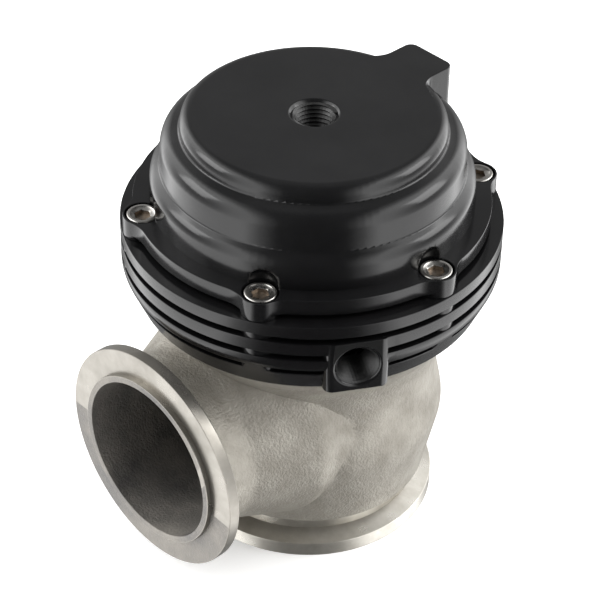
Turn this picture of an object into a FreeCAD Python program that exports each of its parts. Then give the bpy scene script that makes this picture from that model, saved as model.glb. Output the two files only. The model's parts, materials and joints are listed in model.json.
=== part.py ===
"""External turbo wastegate: a poppet valve in a cast body, lifted by a diaphragm actuator.

Millimetres. The origin is the centre of the inlet flange's face, +Z runs up the valve stem and the
outlet leaves along -Y. The sheet "sizes" holds every driving size by name, and the expressions below
use those names.
"""
import FreeCAD, Part
import math
import os
import re
import Sketcher

SIZES = {
    # valve body, inlet side
    "inlet_flange_radius": 36.1,
    "inlet_rim_height": 4.2,
    "inlet_taper_height": 2.0,
    "inlet_ring_radius": 31.4,
    "inlet_ring_height": 4.4,
    "foot_radius": 33.6,
    "barrel_radius": 38.0,
    "barrel_height": 32.0,
    "barrel_rounding": 14.0,
    "waist_radius": 35.6,
    "waist_height": 44.0,
    "flare_height": 55.5,
    "flare_rounding": 24.0,
    "body_top_radius": 45.2,
    "body_height": 69.1,
    "body_edge": 0.7,
    "chamber_radius": 31.0,
    "chamber_floor": 13.0,
    "roof_thickness": 12.6,
    "chamber_rounding": 7.0,
    "guide_boss_radius": 11.5,
    "guide_boss_reach": 22.1,
    "pilot_radius": 16.0,
    "pilot_height": 2.8,
    # valve body, outlet side
    "outlet_height": 39.0,
    "outlet_reach": 58.2,
    "outlet_flange_radius": 32.0,
    "outlet_rim_width": 3.3,
    "outlet_taper_width": 1.9,
    "outlet_neck_radius": 27.6,
    "outlet_tube_radius": 25.6,
    "outlet_tube_start": 44.0,
    "outlet_root_radius": 33.0,
    "outlet_root_reach": 25.0,
    "outlet_rounding": 9.0,
    "outlet_bore_radius": 22.9,
    "outlet_bore_root": 18.0,
    "outlet_ramp": 1.0,
    "lip_height": 1.5,
    "lip_width": 2.0,
    # valve and seat
    "seat_ring_radius": 26.5,
    "seat_ring_top": 9.0,
    "seat_ring_recess": 0.2,
    "seat_shoulder_radius": 24.3,
    "throat_radius": 20.5,
    "seat_width": 1.7,
    "seat_gap": 0.2,
    "valve_radius": 22.0,
    "valve_margin": 1.5,
    "valve_crown_radius": 9.0,
    "valve_crown_height": 3.2,
    "valve_neck_height": 16.0,
    "valve_dish_radius": 13.0,
    "valve_dish_depth": 1.2,
    "stem_radius": 4.0,
    "stem_end_radius": 3.0,
    "stem_end_bevel": 0.6,
    "guide_radius": 7.5,
    "guide_length": 19.0,
    "scraper_radius": 9.0,
    "scraper_height": 3.0,
    "gasket_thickness": 0.8,
    "gasket_inset": 0.2,
    # actuator housing
    "housing_height": 22.7,
    "fin_radius": 51.3,
    "fin_height": 3.6,
    "slot_height": 1.7,
    "slot_count": 3,
    "slot_depth": 6.8,
    "housing_foot_inset": 4.3,
    "housing_foot_rounding": 1.6,
    "housing_taper_top": 9.8,
    "housing_taper_rounding": 6.0,
    "housing_floor": 5.5,
    "bowl_wall": 14.3,
    "bowl_rounding": 3.0,
    "hub_radius": 12.0,
    "hub_height": 11.0,
    "bushing_radius": 7.0,
    "bushing_length": 4.0,
    "seal_radius": 8.6,
    "seal_height": 3.0,
    "seal_section": 1.4,
    "retainer_radius": 9.6,
    "retainer_height": 1.0,
    "boss_width": 17.2,
    "boss_foot": 2.0,
    "boss_root": 3.0,
    "boss_corner": 2.5,
    "low_port_height": 9.5,
    "low_port_radius": 5.7,
    "low_port_depth": 12.0,
    "low_port_angle": -30,
    "low_port_mouth": 6.3,
    "passage_radius": 2.6,
    # housing to body screws
    "body_screw_inset": 23.3,
    "body_screw_angle": 45,
    "body_screw_count": 4,
    "body_screw_depth": 9.0,
    "lock_washer_radius": 4.6,
    "lock_washer_height": 1.2,
    # diaphragm and piston
    "diaphragm_inset": 9.3,
    "diaphragm_thickness": 1.2,
    "diaphragm_drop": 4.3,
    "dish_floor_inset": 18.3,
    "dish_rim_inset": 14.7,
    "dish_rounding": 1.6,
    "dish_lean": 0.56,
    "bead_height": 1.3,
    "bead_width": 1.6,
    "bead_inset": 11.7,
    "plate_inset": 22.3,
    "plate_thickness": 2.0,
    "piston_inset": 19.7,
    "piston_wall": 2.0,
    "piston_floor": 2.0,
    "piston_height": 9.0,
    "piston_hub_radius": 9.0,
    "piston_hub_height": 2.0,
    "nut_washer_radius": 6.4,
    "nut_washer_height": 1.4,
    "nut_flats": 10.0,
    "nut_height": 5.0,
    "stem_end_rise": 1.5,
    # springs
    "outer_spring_inset": 25.3,
    "outer_spring_wire": 3.4,
    "outer_spring_turns": 5,
    "inner_spring_radius": 14.5,
    "inner_spring_wire": 2.4,
    "inner_spring_turns": 6,
    "spring_grinding": 0.6,
    # top cap
    "lobe_height": 5.8,
    "lobe_radius": 5.3,
    "flange_inset": 3.5,
    "flange_thickness": 4.4,
    "lobe_blend": 10.0,
    "foot_blend": 4.0,
    "top_tier_inset": 16.4,
    "top_tier_height": 4.6,
    "top_rounding": 3.2,
    "middle_tier_inset": 10.7,
    "middle_tier_height": 9.0,
    "middle_rounding": 4.6,
    "low_tier_inset": 7.9,
    "low_tier_height": 8.0,
    "low_rounding": 3.8,
    "crease_rounding": 0.7,
    "tier_slope": 1.9,
    "low_tier_draft": 0.3,
    "middle_tier_draft": 0.5,
    "top_tier_draft": 0.3,
    "dome_height": 25.2,
    "cap_cavity_inset": 14.0,
    "cap_shoulder_depth": 8.6,
    "cap_spring_room_inset": 20.3,
    "cap_top_wall": 3.5,
    "port_boss_radius": 9.5,
    "top_port_radius": 5.6,
    "top_port_depth": 12.0,
    "top_port_mouth": 6.8,
    "side_boss_width": 16.0,
    "side_boss_inset": 7.3,
    "side_boss_height": 16.0,
    "side_boss_corner": 2.4,
    "side_boss_blend": 7.0,
    "side_boss_root_inset": 19.5,
    "side_boss_spread": 15.0,
    "side_boss_drop": 3.4,
    "side_port_radius": 4.3,
    "side_port_depth": 10.0,
    "side_port_mouth": 5.1,
    # fasteners
    "screw_count": 6,
    "screw_inset": 5.5,
    "screw_length": 14.0,
    "screw_radius": 2.5,
    "screw_head_radius": 4.25,
    "screw_head_height": 3.5,
    "screw_hex_flats": 4.0,
    "screw_hex_depth": 2.2,
    "pocket_radius": 4.75,
    "pocket_rise": 4.5,
    "tall_head_height": 5.0,
    "body_screw_length": 13.0,
    "thread_runout": 1.5,
    # overlap of joined shapes, and clearances
    "overlap": 1.0,
    "fit_gap": 0.05,
    "slide_gap": 0.05,
    "hole_gap": 0.25,
    "soft_gap": 0.3,
}

# Sizes that keep with the fins' edge or with the body's top, as expressions in the sheet's names.
FOLLOWING = {
    "chamber_roof": "(body_height - roof_thickness)",
    "guide_boss_bottom": "(body_height - guide_boss_reach)",
    "slot_floor_radius": "(fin_radius - slot_depth)",
    "housing_foot_radius": "(fin_radius - housing_foot_inset)",
    "bowl_radius": "(fin_radius - bowl_wall)",
    "body_screw_circle": "(fin_radius - body_screw_inset)",
    "diaphragm_radius": "(fin_radius - diaphragm_inset)",
    "dish_floor_radius": "(fin_radius - dish_floor_inset)",
    "dish_rim_radius": "(fin_radius - dish_rim_inset)",
    "bead_circle": "(fin_radius - bead_inset)",
    "plate_radius": "(fin_radius - plate_inset)",
    "piston_radius": "(fin_radius - piston_inset)",
    "outer_spring_radius": "(fin_radius - outer_spring_inset)",
    "flange_radius": "(fin_radius - flange_inset)",
    "top_tier_radius": "(fin_radius - top_tier_inset)",
    "middle_tier_radius": "(fin_radius - middle_tier_inset)",
    "low_tier_radius": "(fin_radius - low_tier_inset)",
    "cap_cavity_radius": "(fin_radius - cap_cavity_inset)",
    "cap_spring_room_radius": "(fin_radius - cap_spring_room_inset)",
    "side_boss_reach": "(fin_radius - side_boss_inset)",
    "side_boss_root": "(fin_radius - side_boss_root_inset)",
    "screw_circle": "(fin_radius - screw_inset)",
}

# Heights that several pieces share, as expressions.
HOUSING_BASE = "(body_height + gasket_thickness)"
PARTING = f"({HOUSING_BASE} + housing_height)"
FLANGE_TOP = f"({PARTING} + lobe_height)"
CAP_TOP = f"({FLANGE_TOP} + dome_height)"
DIAPHRAGM_PLANE = f"({PARTING} - diaphragm_drop)"
PLATE_TOP = f"({DIAPHRAGM_PLANE} - diaphragm_thickness)"
PLATE_BASE = f"({PLATE_TOP} - plate_thickness)"
SPRING_FLOOR = f"({DIAPHRAGM_PLANE} + piston_floor)"
SPRING_CEILING = f"({CAP_TOP} - cap_top_wall)"
NUT_BASE = f"({SPRING_FLOOR} + piston_hub_height + nut_washer_height)"
SEAT_FOOT = "(seat_ring_top - seat_width)"
BORE_OF_STEM = "(stem_radius + slide_gap)"
RING_BASE = "(inlet_rim_height + inlet_taper_height)"
RING_TOP = f"({RING_BASE} + inlet_ring_height)"

doc = FreeCAD.newDocument("wastegate")
sheet = doc.addObject("Spreadsheet::Sheet", "sizes")


def fill_sheet():
    """Write each size and its name into the sheet."""
    for row, (alias, size) in enumerate(SIZES.items(), start=1):
        sheet.set(f"A{row}", alias)
        sheet.set(f"B{row}", str(size))
        sheet.setAlias(f"B{row}", alias)
    doc.recompute()


def written_out(expression):
    """The same expression with each following size written out in the sheet's names."""
    return re.sub(r"[a-z_]+", lambda word: FOLLOWING.get(word[0], word[0]), str(expression))


def number(expression):
    """Value of an expression in the sheet's names."""
    return float(sheet.evalExpression(written_out(expression)))


def linked(expression):
    """The same expression as other objects have to write it, with the sheet's name in front."""
    return re.sub(r"[a-z_]+", lambda word: f"sizes.{word[0]}" if word[0] in SIZES else word[0],
                  written_out(expression))


def bind(thing, **expressions):
    """Tie properties of an object to expressions."""
    for name, expression in expressions.items():
        thing.setExpression(name, linked(expression))


def place(thing, x="0", y="0", z="0", turn=None):
    """Set an object's Placement: a turn (axis, angle) that is fixed, and a bound position."""
    if turn:
        thing.Placement.Rotation = FreeCAD.Rotation(FreeCAD.Vector(*turn[0]), turn[1])
    for name, expression in (("x", x), ("y", y), ("z", z)):
        if str(expression) != "0":
            thing.setExpression(f".Placement.Base.{name}", linked(expression))
    return thing


def hold(sketch, geometry, end, x, y):
    """Fix one point of a sketch at two expressions."""
    for axis, zero, expression in (("X", -2, x), ("Y", -1, y)):
        if str(expression) == "0":
            sketch.addConstraint(Sketcher.Constraint("PointOnObject", geometry, end, zero))
            continue
        value = number(expression)
        index = sketch.addConstraint(Sketcher.Constraint(f"Distance{axis}", -1, 1, geometry, end, value))
        sketch.setExpression(f"Constraints[{index}]", linked(expression))


def draw(sketch, corners):
    """Closed outline through corners (x, y) or (x, y, rounding), each an expression."""
    count = len(corners)
    points = [FreeCAD.Vector(number(c[0]), number(c[1]), 0) for c in corners]
    radii = [number(c[2]) if len(c) > 2 else 0.0 for c in corners]
    entries, exits, arcs, first = [], [], {}, {}
    for i, point in enumerate(points):
        before = (points[i - 1] - point).normalize()
        after = (points[(i + 1) % count] - point).normalize()
        half = before.getAngle(after) / 2
        reach = radii[i] / math.tan(half) if radii[i] else 0.0
        entries.append(point + before * reach)
        exits.append(point + after * reach)
        if radii[i]:
            middle = point + (before + after).normalize() * (radii[i] / math.sin(half) - radii[i])
            # A sketch's arc always runs anticlockwise, so on a right turn its start is the far end.
            left_turn = after.cross(before).z > 0
            ends = (entries[i], exits[i]) if left_turn else (exits[i], entries[i])
            arcs[i] = Part.Arc(ends[0], middle, ends[1])
            first[i] = 1 if left_turn else 2
    lines = [sketch.addGeometry(Part.LineSegment(exits[i], entries[(i + 1) % count]), False) for i in range(count)]
    for i, corner in enumerate(corners):
        ahead, behind = lines[i], lines[i - 1]
        if i not in arcs:
            sketch.addConstraint(Sketcher.Constraint("Coincident", behind, 2, ahead, 1))
            hold(sketch, ahead, 1, corner[0], corner[1])
            continue
        arc = sketch.addGeometry(arcs[i], False)
        sketch.addConstraint(Sketcher.Constraint("Tangent", behind, 2, arc, first[i]))
        sketch.addConstraint(Sketcher.Constraint("Tangent", arc, 3 - first[i], ahead, 1))
        index = sketch.addConstraint(Sketcher.Constraint("Radius", arc, radii[i]))
        sketch.setExpression(f"Constraints[{index}]", linked(corner[2]))
        apex = sketch.addGeometry(Part.Point(points[i]), True)
        sketch.addConstraint(Sketcher.Constraint("PointOnObject", apex, 1, behind))
        sketch.addConstraint(Sketcher.Constraint("PointOnObject", apex, 1, ahead))
        hold(sketch, apex, 1, corner[0], corner[1])


def sketch_on(body, role, name, corners):
    """Sketch of an outline on one of the body's own origin planes."""
    sketch = body.newObject("Sketcher::SketchObject", name)
    sketch.AttachmentSupport = [(next(f for f in body.Origin.OriginFeatures if f.Role == role), "")]
    sketch.MapMode = "FlatFace"
    draw(sketch, corners)
    return sketch


def turned(label, corners, z="0", turn=None):
    """Body of revolution about its own Z, from a half section of (radius, height) corners."""
    body = doc.addObject("PartDesign::Body", label)
    sketch = sketch_on(body, "XZ_Plane", f"{label}_section", corners)
    revolution = body.newObject("PartDesign::Revolution", f"{label}_turned")
    revolution.Profile = sketch
    revolution.ReferenceAxis = (sketch, ["V_Axis"])
    revolution.Angle = 360
    return place(body, z=z, turn=turn)


def padded(label, corners, height, z="0"):
    """Body pushed up from an outline of (x, y) corners."""
    body = doc.addObject("PartDesign::Body", label)
    sketch = sketch_on(body, "XY_Plane", f"{label}_outline", corners)
    pad = body.newObject("PartDesign::Pad", f"{label}_pad")
    pad.Profile = sketch
    bind(pad, Length=height)
    return place(body, z=z)


def cylinder(label, radius, height, x="0", y="0", z="0", turn=None):
    """Part cylinder with bound sizes."""
    solid = doc.addObject("Part::Cylinder", label)
    bind(solid, Radius=radius, Height=height)
    return place(solid, x, y, z, turn)


def sphere(label, radius, x="0", y="0", z="0"):
    """Part sphere with a bound radius."""
    solid = doc.addObject("Part::Sphere", label)
    bind(solid, Radius=radius)
    return place(solid, x, y, z)


def hexagon(label, flats, height, x="0", y="0", z="0"):
    """Hexagonal prism measured across its flats."""
    solid = doc.addObject("Part::Prism", label)
    solid.Polygon = 6
    bind(solid, Circumradius=f"({flats}) / sqrt(3)", Height=height)
    return place(solid, x, y, z)


def box(label, length, width, height, x="0", y="0", z="0"):
    """Part box with bound sizes."""
    solid = doc.addObject("Part::Box", label)
    bind(solid, Length=length, Width=width, Height=height)
    return place(solid, x, y, z)


def fused(label, *shapes):
    """Union of shapes."""
    union = doc.addObject("Part::MultiFuse", label)
    union.Shapes = list(shapes)
    union.Refine = True
    return union


def cut(label, base, *tools):
    """Base less its tools."""
    difference = doc.addObject("Part::Cut", label)
    difference.Base = base
    difference.Tool = tools[0] if len(tools) == 1 else fused(f"{label}_cutters", *tools)
    difference.Refine = True
    return difference


def common(label, base, tool):
    """What two shapes share."""
    shared = doc.addObject("Part::Common", label)
    shared.Base = base
    shared.Tool = tool
    return shared


def rounded(label, base, radius, chosen):
    """Base with the chosen edges rounded."""
    doc.recompute()
    rounding = doc.addObject("Part::Fillet", label)
    rounding.Base = base
    size = number(radius)
    rounding.Edges = [(i, size, size) for i, edge in enumerate(base.Shape.Edges, start=1) if chosen(edge)]
    return rounding


def grouped(label, shapes):
    """Separate solids under one name."""
    group = doc.addObject("Part::Compound", label)
    group.Links = shapes
    return group


def around(count, radius, angle="0"):
    """Positions on a circle, as pairs of expressions."""
    for i in range(round(number(count))):
        bearing = f"({angle} + 360 * {i} / ({count})) * 1 deg"
        yield i + 1, f"({radius}) * cos({bearing})", f"({radius}) * sin({bearing})"


def upright(edge):
    """Whether an edge is a straight line along Z."""
    if edge.Curve.TypeId != "Part::GeomLine":
        return False
    return abs(edge.tangentAt(edge.FirstParameter).z) > 0.999


def lobes(label, radius, height, z):
    """Six round pillars on the screw circle."""
    return [cylinder(f"{label}_{i}", radius, height, x, y, z) for i, x, y in around("screw_count", "screw_circle")]


# ---------------------------------------------------------------- valve body

OUTWARD = ((1, 0, 0), 90)  # turns a piece's own +Z to -Y


def inlet_flange():
    """Machined inlet flange with its ring, welded under the casting, and the seat ring's counterbore."""
    recess = "(seat_ring_radius + fit_gap)"
    return turned("inlet_flange", [
        (recess, "0"),
        ("inlet_flange_radius", "0"),
        ("inlet_flange_radius", "inlet_rim_height"),
        ("inlet_ring_radius", RING_BASE),
        ("inlet_ring_radius", RING_TOP),
        ("seat_shoulder_radius", RING_TOP),
        ("seat_shoulder_radius", "seat_ring_top"),
        (recess, "seat_ring_top"),
    ])


def valve_body():
    """Cast body: round barrel, flared top and the outlet branch with its flange."""
    barrel = turned("barrel", [
        ("0", RING_TOP),
        ("foot_radius", RING_TOP),
        ("barrel_radius", "barrel_height", "barrel_rounding"),
        ("waist_radius", "waist_height", "barrel_rounding"),
        ("waist_radius", "flare_height", "flare_rounding"),
        ("body_top_radius", "body_height - body_edge"),
        ("body_top_radius", "body_height"),
        ("pilot_radius", "body_height"),
        ("pilot_radius", "body_height + pilot_height"),
        ("0", "body_height + pilot_height"),
    ])
    taper_end = "(outlet_reach - outlet_rim_width - outlet_taper_width)"
    branch = turned("branch", [
        ("0", "0"),
        ("outlet_root_radius", "0"),
        ("outlet_root_radius", "outlet_root_reach", "outlet_rounding"),
        ("outlet_tube_radius", "outlet_tube_start", "outlet_rounding"),
        ("outlet_tube_radius", f"{taper_end} - outlet_ramp"),
        ("outlet_neck_radius", taper_end),
        ("outlet_flange_radius", "outlet_reach - outlet_rim_width"),
        ("outlet_flange_radius", "outlet_reach"),
        ("outlet_bore_radius + lip_width", "outlet_reach"),
        ("outlet_bore_radius + lip_width", "outlet_reach + lip_height"),
        ("0", "outlet_reach + lip_height"),
    ], z="outlet_height", turn=OUTWARD)
    band_height = f"body_height - body_edge - {RING_TOP}"
    band = box("branch_limits", "4 * outlet_flange_radius", "outlet_tube_start", band_height,
               "-2 * outlet_flange_radius", "-outlet_tube_start", RING_TOP)
    root = common("branch_root", branch, band)
    tip_length = "outlet_reach + lip_height - outlet_tube_start + overlap"
    tip_band = box("branch_tip_limits", "4 * outlet_flange_radius", tip_length, "4 * outlet_flange_radius",
                   "-2 * outlet_flange_radius", "-outlet_reach - lip_height",
                   "outlet_height - 2 * outlet_flange_radius")
    tip = common("branch_tip", branch, tip_band)
    casting = fused("casting", barrel, root, tip)

    guide_bore = "(guide_radius + fit_gap)"
    floor = f"(chamber_floor - {RING_TOP})"
    roof = f"(chamber_roof - {RING_TOP})"
    guide_foot = f"(guide_boss_bottom - {RING_TOP})"
    scraper_seat = f"({guide_foot} + guide_length)"
    top = f"(body_height + pilot_height - {RING_TOP})"
    chamber = turned("chamber", [
        ("0", "0"),
        ("seat_shoulder_radius", "0"),
        ("seat_shoulder_radius", floor),
        ("chamber_radius", floor, "chamber_rounding / 2"),
        ("chamber_radius", roof, "chamber_rounding"),
        ("guide_boss_radius", roof, "chamber_rounding / 2"),
        ("guide_boss_radius", guide_foot),
        (guide_bore, guide_foot),
        (guide_bore, scraper_seat),
        ("scraper_radius + fit_gap", scraper_seat),
        ("scraper_radius + fit_gap", top),
        ("0", top),
    ], z=RING_TOP)
    bore = cylinder("outlet_bore", "outlet_bore_radius", "outlet_reach + lip_height - outlet_bore_root",
                    y="-outlet_bore_root", z="outlet_height", turn=OUTWARD)
    taps = [
        cylinder(f"body_tap_{i}", "screw_radius + fit_gap", "body_screw_depth", x, y,
                 "body_height - body_screw_depth")
        for i, x, y in around("body_screw_count", "body_screw_circle", "body_screw_angle")
    ]
    return cut("valve_body", casting, chamber, bore, *taps)


def valve_seat():
    """Hardened seat ring, let into the inlet face, with a rounded throat and a 45 degree seat."""
    return turned("valve_seat", [
        ("throat_radius", "0", "seat_width"),
        ("seat_ring_radius", "0"),
        ("seat_ring_radius", "seat_ring_top - seat_ring_recess"),
        ("throat_radius + seat_width", "seat_ring_top - seat_ring_recess"),
        ("throat_radius", "seat_ring_top - seat_ring_recess - seat_width"),
    ], z="seat_ring_recess")


def poppet_valve():
    """Valve head with its 45 degree face down, tulip neck, stem and threaded end, in one piece."""
    face_width = "(valve_radius - throat_radius + seat_gap)"
    head_top = f"({face_width} + valve_margin)"
    shoulder = f"({PLATE_BASE} - {SEAT_FOOT})"
    end = f"({NUT_BASE} + nut_height + stem_end_rise - {SEAT_FOOT})"
    return turned("poppet_valve", [
        ("0", "valve_dish_depth"),
        ("valve_dish_radius", "valve_dish_depth"),
        ("valve_dish_radius + valve_dish_depth", "0"),
        ("throat_radius - seat_gap", "0"),
        ("valve_radius", face_width),
        ("valve_radius", head_top),
        ("valve_crown_radius", f"{head_top} + valve_crown_height", "valve_crown_radius"),
        ("stem_radius", "valve_neck_height", "stem_radius"),
        ("stem_radius", shoulder),
        ("stem_end_radius", shoulder),
        ("stem_end_radius", f"{end} - stem_end_bevel"),
        ("stem_end_radius - stem_end_bevel", end),
        ("0", end),
    ], z=SEAT_FOOT)


def stem_guide():
    """Bronze guide pressed into the body's inner boss."""
    return turned("stem_guide", [
        (BORE_OF_STEM, "0"),
        ("guide_radius", "0"),
        ("guide_radius", "guide_length"),
        (BORE_OF_STEM, "guide_length"),
    ], z="guide_boss_bottom")


def stem_scraper():
    """Graphite ring above the guide that keeps exhaust off the actuator."""
    return turned("stem_scraper", [
        (BORE_OF_STEM, "0"),
        ("scraper_radius", "0"),
        ("scraper_radius", "scraper_height"),
        (BORE_OF_STEM, "scraper_height"),
    ], z="guide_boss_bottom + guide_length")


def body_gasket():
    """Steel gasket between the hot body and the actuator."""
    ring = turned("gasket_ring", [
        ("pilot_radius + hole_gap", "0"),
        ("body_top_radius - gasket_inset", "0"),
        ("body_top_radius - gasket_inset", "gasket_thickness"),
        ("pilot_radius + hole_gap", "gasket_thickness"),
    ], z="body_height")
    holes = [
        cylinder(f"gasket_hole_{i}", "screw_radius + hole_gap", "gasket_thickness", x, y, "body_height")
        for i, x, y in around("body_screw_count", "body_screw_circle", "body_screw_angle")
    ]
    return cut("body_gasket", ring, *holes)


# ---------------------------------------------------------------- actuator housing

def slot_rings():
    """The cooling slots as full rings, counted down from the top fin."""
    rings = []
    for i in range(1, round(number("slot_count")) + 1):
        top = f"({PARTING} - {i} * fin_height - {i - 1} * slot_height)"
        outer = cylinder(f"slot_{i}_outside", "fin_radius + overlap", "slot_height", z=f"{top} - slot_height")
        inner = cylinder(f"slot_{i}_floor", "slot_floor_radius", "slot_height", z=f"{top} - slot_height")
        rings.append(cut(f"slot_{i}", outer, inner))
    return fused("slot_rings", *rings)


def actuator_housing():
    """Finned bowl: slots between six screw pillars, a port boss and a hub for the stem's seals."""
    shell = turned("housing_shell", [
        ("0", "0"),
        ("housing_foot_radius", "0", "housing_foot_rounding"),
        ("fin_radius", "housing_taper_top", "housing_taper_rounding"),
        ("fin_radius", "housing_height"),
        ("0", "housing_height"),
    ], z=HOUSING_BASE)
    boss_top = "(housing_height - 2 * fin_height - slot_height)"
    port_bearing = "low_port_angle * 1 deg"
    boss = doc.addObject("Part::Box", "low_port_block")
    bind(boss, Length="fin_radius - slot_floor_radius + boss_root", Width="boss_width",
         Height=f"{boss_top} + fin_height - boss_foot")
    boss.Placement.Rotation = FreeCAD.Rotation(FreeCAD.Vector(0, 0, 1), number("low_port_angle"))
    inner_edge = "(slot_floor_radius - boss_root)"
    place(boss,
          f"{inner_edge} * cos({port_bearing}) + boss_width / 2 * sin({port_bearing})",
          f"{inner_edge} * sin({port_bearing}) - boss_width / 2 * cos({port_bearing})",
          f"{HOUSING_BASE} + boss_foot")
    port_block = rounded("low_port_boss", boss, "boss_corner", upright)
    pillars = lobes("housing_pillar", "lobe_radius", "housing_height", HOUSING_BASE)
    slots = cut("cooling_slots", slot_rings(), port_block, *pillars)

    bowl = turned("bowl", [
        ("hub_radius", "housing_floor", "bowl_rounding / 2"),
        ("bowl_radius", "housing_floor", "bowl_rounding"),
        ("bowl_radius", "housing_height - diaphragm_thickness"),
        ("bead_circle - bead_width / 2", "housing_height - diaphragm_thickness"),
        ("bead_circle - bead_width / 2", "housing_height - diaphragm_thickness - bead_height"),
        ("bead_circle + bead_width / 2", "housing_height - diaphragm_thickness - bead_height"),
        ("bead_circle + bead_width / 2", "housing_height - diaphragm_thickness"),
        ("diaphragm_radius + fit_gap", "housing_height - diaphragm_thickness"),
        ("diaphragm_radius + fit_gap", "housing_height"),
        ("0", "housing_height"),
        ("0", "hub_height"),
        ("hub_radius", "hub_height"),
    ], z=HOUSING_BASE)
    pilot_depth = "(pilot_height - gasket_thickness + hole_gap)"
    seal_base = f"({pilot_depth} + bushing_length)"
    hub_bore = turned("hub_bore", [
        ("0", "0"),
        ("pilot_radius + fit_gap", "0"),
        ("pilot_radius + fit_gap", pilot_depth),
        ("bushing_radius + fit_gap", pilot_depth),
        ("bushing_radius + fit_gap", seal_base),
        ("seal_radius + fit_gap", seal_base),
        ("seal_radius + fit_gap", f"{seal_base} + seal_height"),
        ("retainer_radius + fit_gap", f"{seal_base} + seal_height"),
        ("retainer_radius + fit_gap", "hub_height"),
        ("0", "hub_height"),
    ], z=HOUSING_BASE)
    body_holes = [
        cylinder(f"housing_hole_{i}", "screw_radius + hole_gap", "housing_floor", x, y, HOUSING_BASE)
        for i, x, y in around("body_screw_count", "body_screw_circle", "body_screw_angle")
    ]
    tap_depth = "(screw_length - lobe_height + screw_head_height + thread_runout)"
    taps = [
        cylinder(f"housing_tap_{i}", "screw_radius + fit_gap", tap_depth, x, y, f"{PARTING} - {tap_depth}")
        for i, x, y in around("screw_count", "screw_circle")
    ]
    port = turned("low_port", [
        ("0", "bowl_radius - overlap"),
        ("passage_radius", "bowl_radius - overlap"),
        ("passage_radius", "fin_radius - low_port_depth"),
        ("low_port_radius", "fin_radius - low_port_depth"),
        ("low_port_radius", "fin_radius - (low_port_mouth - low_port_radius)"),
        ("low_port_mouth", "fin_radius"),
        ("low_port_mouth", "fin_radius + overlap"),
        ("0", "fin_radius + overlap"),
    ], z=f"{HOUSING_BASE} + low_port_height")
    lean = FreeCAD.Rotation(FreeCAD.Vector(0, 0, 1), number("low_port_angle"))
    port.Placement.Rotation = lean.multiply(FreeCAD.Rotation(FreeCAD.Vector(0, 1, 0), 90))
    solid = fused("housing_solid", shell, port_block)
    return cut("actuator_housing", solid, slots, bowl, hub_bore, port, *body_holes, *taps)


def hub_ring(label, radius, height, base, bore=BORE_OF_STEM):
    """Plain ring round the stem in the housing's hub."""
    return turned(label, [(bore, "0"), (radius, "0"), (radius, height), (bore, height)], z=base)


def hub_pieces():
    """Bushing, seal ring and retainer, one above the other in the hub."""
    bushing_base = f"({HOUSING_BASE} + pilot_height - gasket_thickness + hole_gap)"
    seal_base = f"({bushing_base} + bushing_length)"
    retainer_base = f"({seal_base} + seal_height)"
    return [
        hub_ring("rod_bushing", "bushing_radius", "bushing_length", bushing_base),
        rod_seal(seal_base),
        hub_ring("seal_retainer", "retainer_radius", "retainer_height", retainer_base,
                 f"{BORE_OF_STEM} + hole_gap"),
    ]


def rod_seal(base):
    """Lip seal: an outer ring with a lip that leans on the stem."""
    return turned("rod_seal", [
        (BORE_OF_STEM, "0"),
        ("seal_radius", "0"),
        ("seal_radius", "seal_height"),
        ("seal_radius - seal_section", "seal_height"),
        ("seal_radius - seal_section", "seal_section"),
        (f"{BORE_OF_STEM} + seal_section / 2", "seal_section"),
    ], z=base)


def cap_screw(label, x, y, head_base, head_height, length, turn="0"):
    """Socket-head screw: head, shank and hexagonal socket."""
    head = cylinder(f"{label}_head", "screw_head_radius", head_height, x, y, head_base)
    shank = cylinder(f"{label}_shank", "screw_radius", length, x, y, f"{head_base} - {length}")
    socket = hexagon(f"{label}_socket", "screw_hex_flats", "screw_hex_depth", x, y,
                     f"{head_base} + {head_height} - screw_hex_depth")
    return cut(label, fused(f"{label}_blank", head, shank), socket)


def housing_screws():
    """Four screws that hold the housing down to the body, and a lock washer under each."""
    floor = f"({HOUSING_BASE} + housing_floor)"
    screws, washers = [], []
    for i, x, y in around("body_screw_count", "body_screw_circle", "body_screw_angle"):
        seat = f"({floor} + lock_washer_height)"
        screws.append(cap_screw(f"housing_screw_{i}", x, y, seat, "tall_head_height", "body_screw_length"))
        disc = cylinder(f"washer_disc_{i}", "lock_washer_radius", "lock_washer_height", x, y, floor)
        hole = cylinder(f"washer_hole_{i}", "screw_radius + fit_gap", "lock_washer_height", x, y, floor)
        washers.append(cut(f"lock_washer_{i}", disc, hole))
    return [grouped("housing_screws", screws), grouped("lock_washers", washers)]


# ---------------------------------------------------------------- diaphragm and piston

def diaphragm():
    """Dished diaphragm: flat middle under the piston, sloping wall and a beaded rim."""
    rim_top = "(diaphragm_drop + diaphragm_thickness)"
    rim = f"({rim_top} - diaphragm_thickness)"
    bead_foot = f"{rim} - bead_height + fit_gap"
    inner, outer = "(bead_circle - bead_width / 2 + fit_gap)", "(bead_circle + bead_width / 2 - fit_gap)"
    bore = "(stem_end_radius + soft_gap)"
    return turned("diaphragm", [
        (bore, "0"),
        ("dish_floor_radius", "0", "dish_rounding"),
        ("dish_rim_radius", rim),
        (inner, rim),
        (inner, bead_foot),
        (outer, bead_foot),
        (outer, rim),
        ("diaphragm_radius", rim),
        ("diaphragm_radius", rim_top),
        ("dish_rim_radius - dish_lean", rim_top, "dish_rounding"),
        ("dish_floor_radius - dish_lean", "diaphragm_thickness"),
        (bore, "diaphragm_thickness"),
    ], z=PLATE_TOP)


def diaphragm_plate():
    """Plate under the diaphragm that clamps it to the piston."""
    bore = "(stem_end_radius + fit_gap)"
    return turned("diaphragm_plate", [
        (bore, "0"),
        ("plate_radius", "0", "plate_thickness / 2"),
        ("plate_radius", "plate_thickness", "plate_thickness / 4"),
        (bore, "plate_thickness"),
    ], z=PLATE_BASE)


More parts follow.
